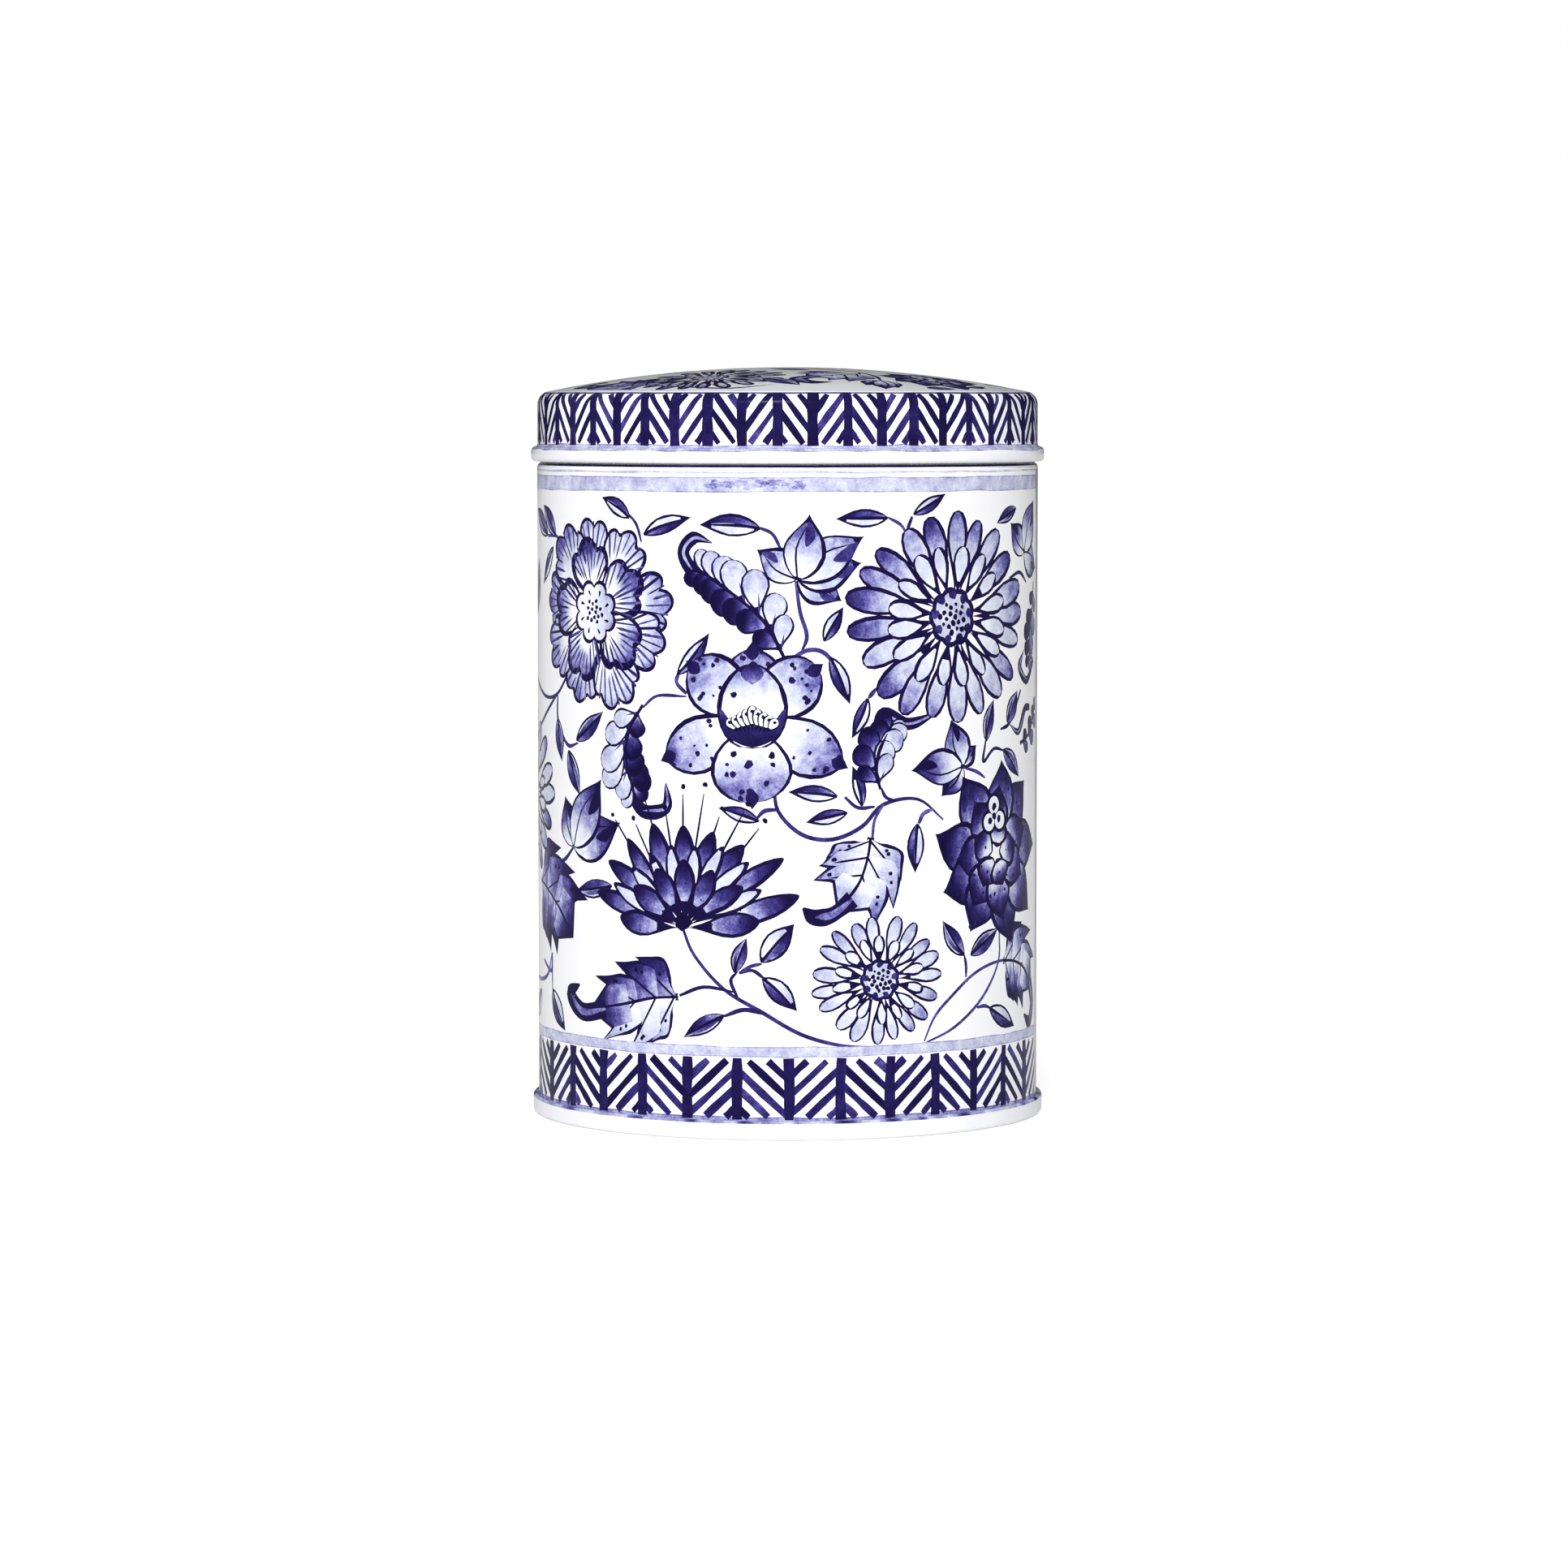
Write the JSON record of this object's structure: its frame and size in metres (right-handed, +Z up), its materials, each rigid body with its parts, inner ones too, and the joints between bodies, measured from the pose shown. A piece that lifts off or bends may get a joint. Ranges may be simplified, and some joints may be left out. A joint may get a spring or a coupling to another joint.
{
  "type": "spice tin",
  "caption": "Round slip-lid spice tin, white enamelled tinplate printed all over with dark blue hand-drawn flowers, leaves and chevron borders",
  "frame": {"origin": "centre of the foot ring, on the surface the tin stands on", "axes": "+Z up along the tin's axis, -Y towards the front, +X to the right seen from the front"},
  "size_m": [0.0778, 0.0778, 0.1132],
  "materials": {
    "printed_body": "satin white enamel on rolled tinplate, printed in dark blue washes and line, bare tinplate inside",
    "printed_lid": "satin white enamel on pressed tinplate, printed in dark blue washes and line, bare tinplate inside",
    "enamelled_end": "satin white enamel outside, bright tinplate with fine rolling lines inside"
  },
  "bodies": {
    "tin": {"body_wall": "printed_body", "bottom_end": "enamelled_end"},
    "lid": {"lid": "printed_lid"}
  },
  "joints": [
    {"name": "lid_lift", "type": "slide", "parent": "tin", "child": "lid", "axis": [0, 0, 1], "range_m": [0, 0.06]}
  ]
}
